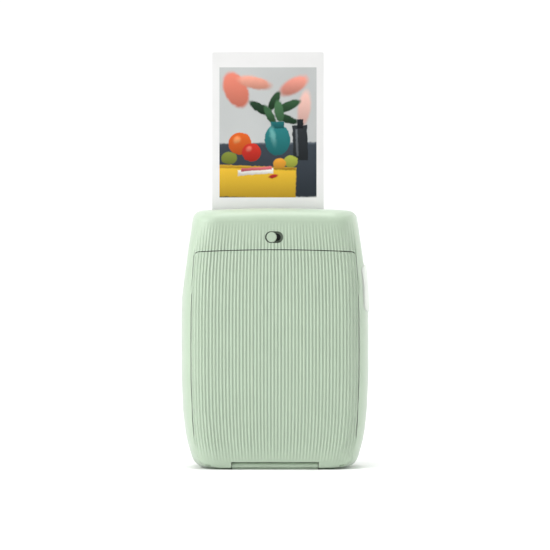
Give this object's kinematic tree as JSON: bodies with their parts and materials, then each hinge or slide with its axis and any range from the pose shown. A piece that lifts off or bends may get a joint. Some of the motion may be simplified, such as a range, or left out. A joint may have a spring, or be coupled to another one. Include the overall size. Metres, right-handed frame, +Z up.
{
  "type": "compact photo printer",
  "caption": "Compact instant-film photo printer standing upright, with a ribbed hinged film door, a slide latch and a print coming out of its top slot.",
  "frame": {"origin": "middle of the foot, on the surface the printer stands on", "axes": "+Z up, the film door faces -Y, +X to the right as seen from the door side"},
  "size_m": [0.0907, 0.037, 0.2017],
  "materials": {
    "casing_plastic": "fine satin",
    "knob_plastic": "fine satin",
    "button_plastic": "satin",
    "dark_plastic": "fine matt",
    "cassette_plastic": "fine matt",
    "gear_plastic": "satin",
    "spring_steel": "bright",
    "steel": "ground",
    "brass": "bright",
    "bearing_plastic": "satin",
    "roller_rubber": "fine matt",
    "print_paper": "smooth coated",
    "picture_layer": "glossy photograph",
    "film_paper": "smooth",
    "lens_glass": "clear",
    "board": "solder resist",
    "chips": "matt",
    "battery_wrap": "satin film",
    "connector_steel": "bright"
  },
  "bodies": {
    "casing": {"rear_casing": "casing_plastic", "front_casing": "casing_plastic", "hinge_pin": "steel", "film_chamber": "dark_plastic", "film_cassette": "cassette_plastic", "film_stack": "film_paper", "pressure_pad": "dark_plastic", "exposure_head": "dark_plastic", "lens_bar": "lens_glass", "roller_bearings": "bearing_plastic", "gear_posts": "steel", "gear_plate": "steel", "motor": "steel", "battery": "battery_wrap", "main_board": "board", "board_screws": "steel", "board_parts": "chips", "usb_socket": "connector_steel", "case_screws": "steel", "plate_screws": "steel", "side_switch": "chips", "side_board": "board"},
    "door": {"film_door": "casing_plastic", "door_liner": "dark_plastic", "pack_springs": "spring_steel"},
    "latch": {"latch_knob": "knob_plastic", "latch_slider": "dark_plastic", "latch_screw": "steel"},
    "button": {"side_button": "button_plastic", "switch_plunger": "dark_plastic"},
    "print": {"instant_print": "print_paper", "print_picture": "picture_layer"},
    "drive_roller_body": {"drive_shaft": "steel", "drive_roller": "roller_rubber", "roller_gears": "gear_plastic"},
    "pinch_roller_body": {"pinch_shaft": "steel", "pinch_roller": "roller_rubber", "pinch_gear": "gear_plastic"},
    "gear_2_body": {"gear_2": "gear_plastic"},
    "gear_1_body": {"gear_1": "gear_plastic"},
    "rotor": {"motor_shaft": "steel", "motor_pinion": "brass"},
    "claw": {"pick_claw": "steel"}
  },
  "joints": [
    {"name": "door_hinge", "type": "hinge", "parent": "casing", "child": "door", "pos_m": [0, -0.0144, 0.002], "axis": [1, 0, 0], "range_deg": [0, 70]},
    {"name": "latch_slide", "type": "slide", "parent": "casing", "child": "latch", "axis": [1, 0, 0], "range_m": [0, 0.0026]},
    {"name": "button_press", "type": "slide", "parent": "casing", "child": "button", "axis": [-1, 0, 0], "range_m": [0, 0.0005], "stiffness_N_per_m": 1500, "springref_m": -0.0004},
    {"name": "print_feed", "type": "slide", "parent": "casing", "child": "print", "axis": [0, 0, 1], "range_m": [-0.1037, 0.012]},
    {"name": "drive_roller_turn", "type": "hinge", "parent": "casing", "child": "drive_roller_body", "pos_m": [0, -0.00275, 0.1173], "axis": [1, 0, 0], "continuous": true},
    {"name": "pinch_roller_turn", "type": "hinge", "parent": "casing", "child": "pinch_roller_body", "pos_m": [0, -0.00925, 0.1173], "axis": [1, 0, 0], "continuous": true},
    {"name": "gear_2_turn", "type": "hinge", "parent": "casing", "child": "gear_2_body", "pos_m": [0, -0.00044, 0.11096], "axis": [1, 0, 0], "continuous": true},
    {"name": "gear_1_turn", "type": "hinge", "parent": "casing", "child": "gear_1_body", "pos_m": [0, 0.00481, 0.10186], "axis": [1, 0, 0], "continuous": true},
    {"name": "motor_turn", "type": "hinge", "parent": "casing", "child": "rotor", "pos_m": [0, 0.0063, 0.09198], "axis": [1, 0, 0], "continuous": true},
    {"name": "claw_slide", "type": "slide", "parent": "casing", "child": "claw", "axis": [0, 0, 1], "range_m": [0, 0.02]}
  ],
  "couplings": [
    {"joint": "drive_roller_turn", "follows": "print_feed", "rad_per_m": -322.58},
    {"joint": "pinch_roller_turn", "follows": "print_feed", "rad_per_m": 322.58},
    {"joint": "gear_2_turn", "follows": "print_feed", "rad_per_m": 403.23},
    {"joint": "gear_1_turn", "follows": "print_feed", "rad_per_m": -1008.1},
    {"joint": "motor_turn", "follows": "print_feed", "rad_per_m": 3024.2}
  ]
}
